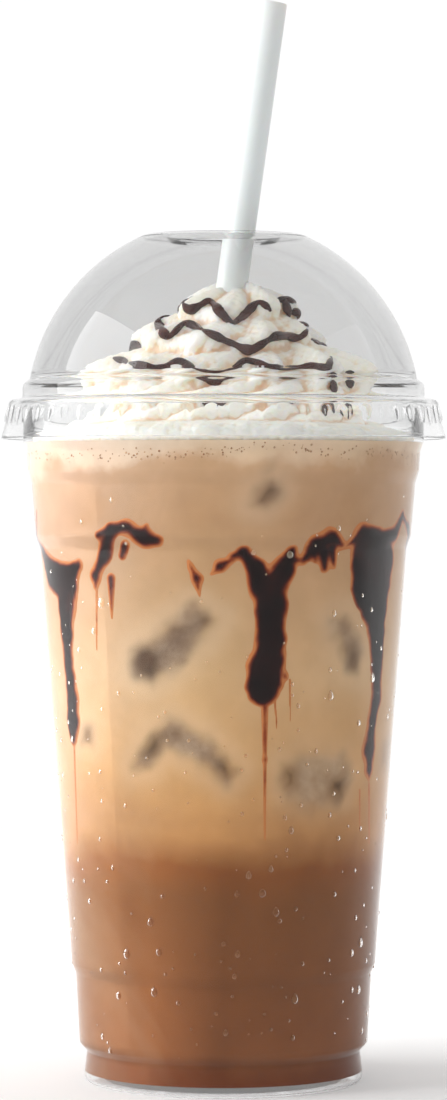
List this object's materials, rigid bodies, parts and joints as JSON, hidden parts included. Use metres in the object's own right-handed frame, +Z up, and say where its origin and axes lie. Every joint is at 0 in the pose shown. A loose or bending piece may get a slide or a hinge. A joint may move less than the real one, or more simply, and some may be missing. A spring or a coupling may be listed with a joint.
{
  "type": "iced coffee",
  "caption": "Layered iced coffee in a clear cup with a domed lid and a straw, topped with piped whipped cream, chocolate sauce and foam.",
  "frame": {"origin": "centre of the ring the cup stands on, at table height", "axes": "+Z up along the cup's axis; the straw leans towards +X; -Y is the front"},
  "size_m": [0.1062, 0.1062, 0.2581],
  "materials": {
    "cup": "clear, smooth",
    "lid": "clear, smooth",
    "straw": "satin",
    "coffee_base": "wet",
    "latte": "wet",
    "milk_foam": "foamy",
    "whipped_cream": "soft"
  },
  "bodies": {
    "root": {"cup": "cup", "lid": "lid", "straw": "straw", "coffee_base": "coffee_base", "latte": "latte", "milk_foam": "milk_foam", "whipped_cream": "whipped_cream"}
  },
  "joints": []
}
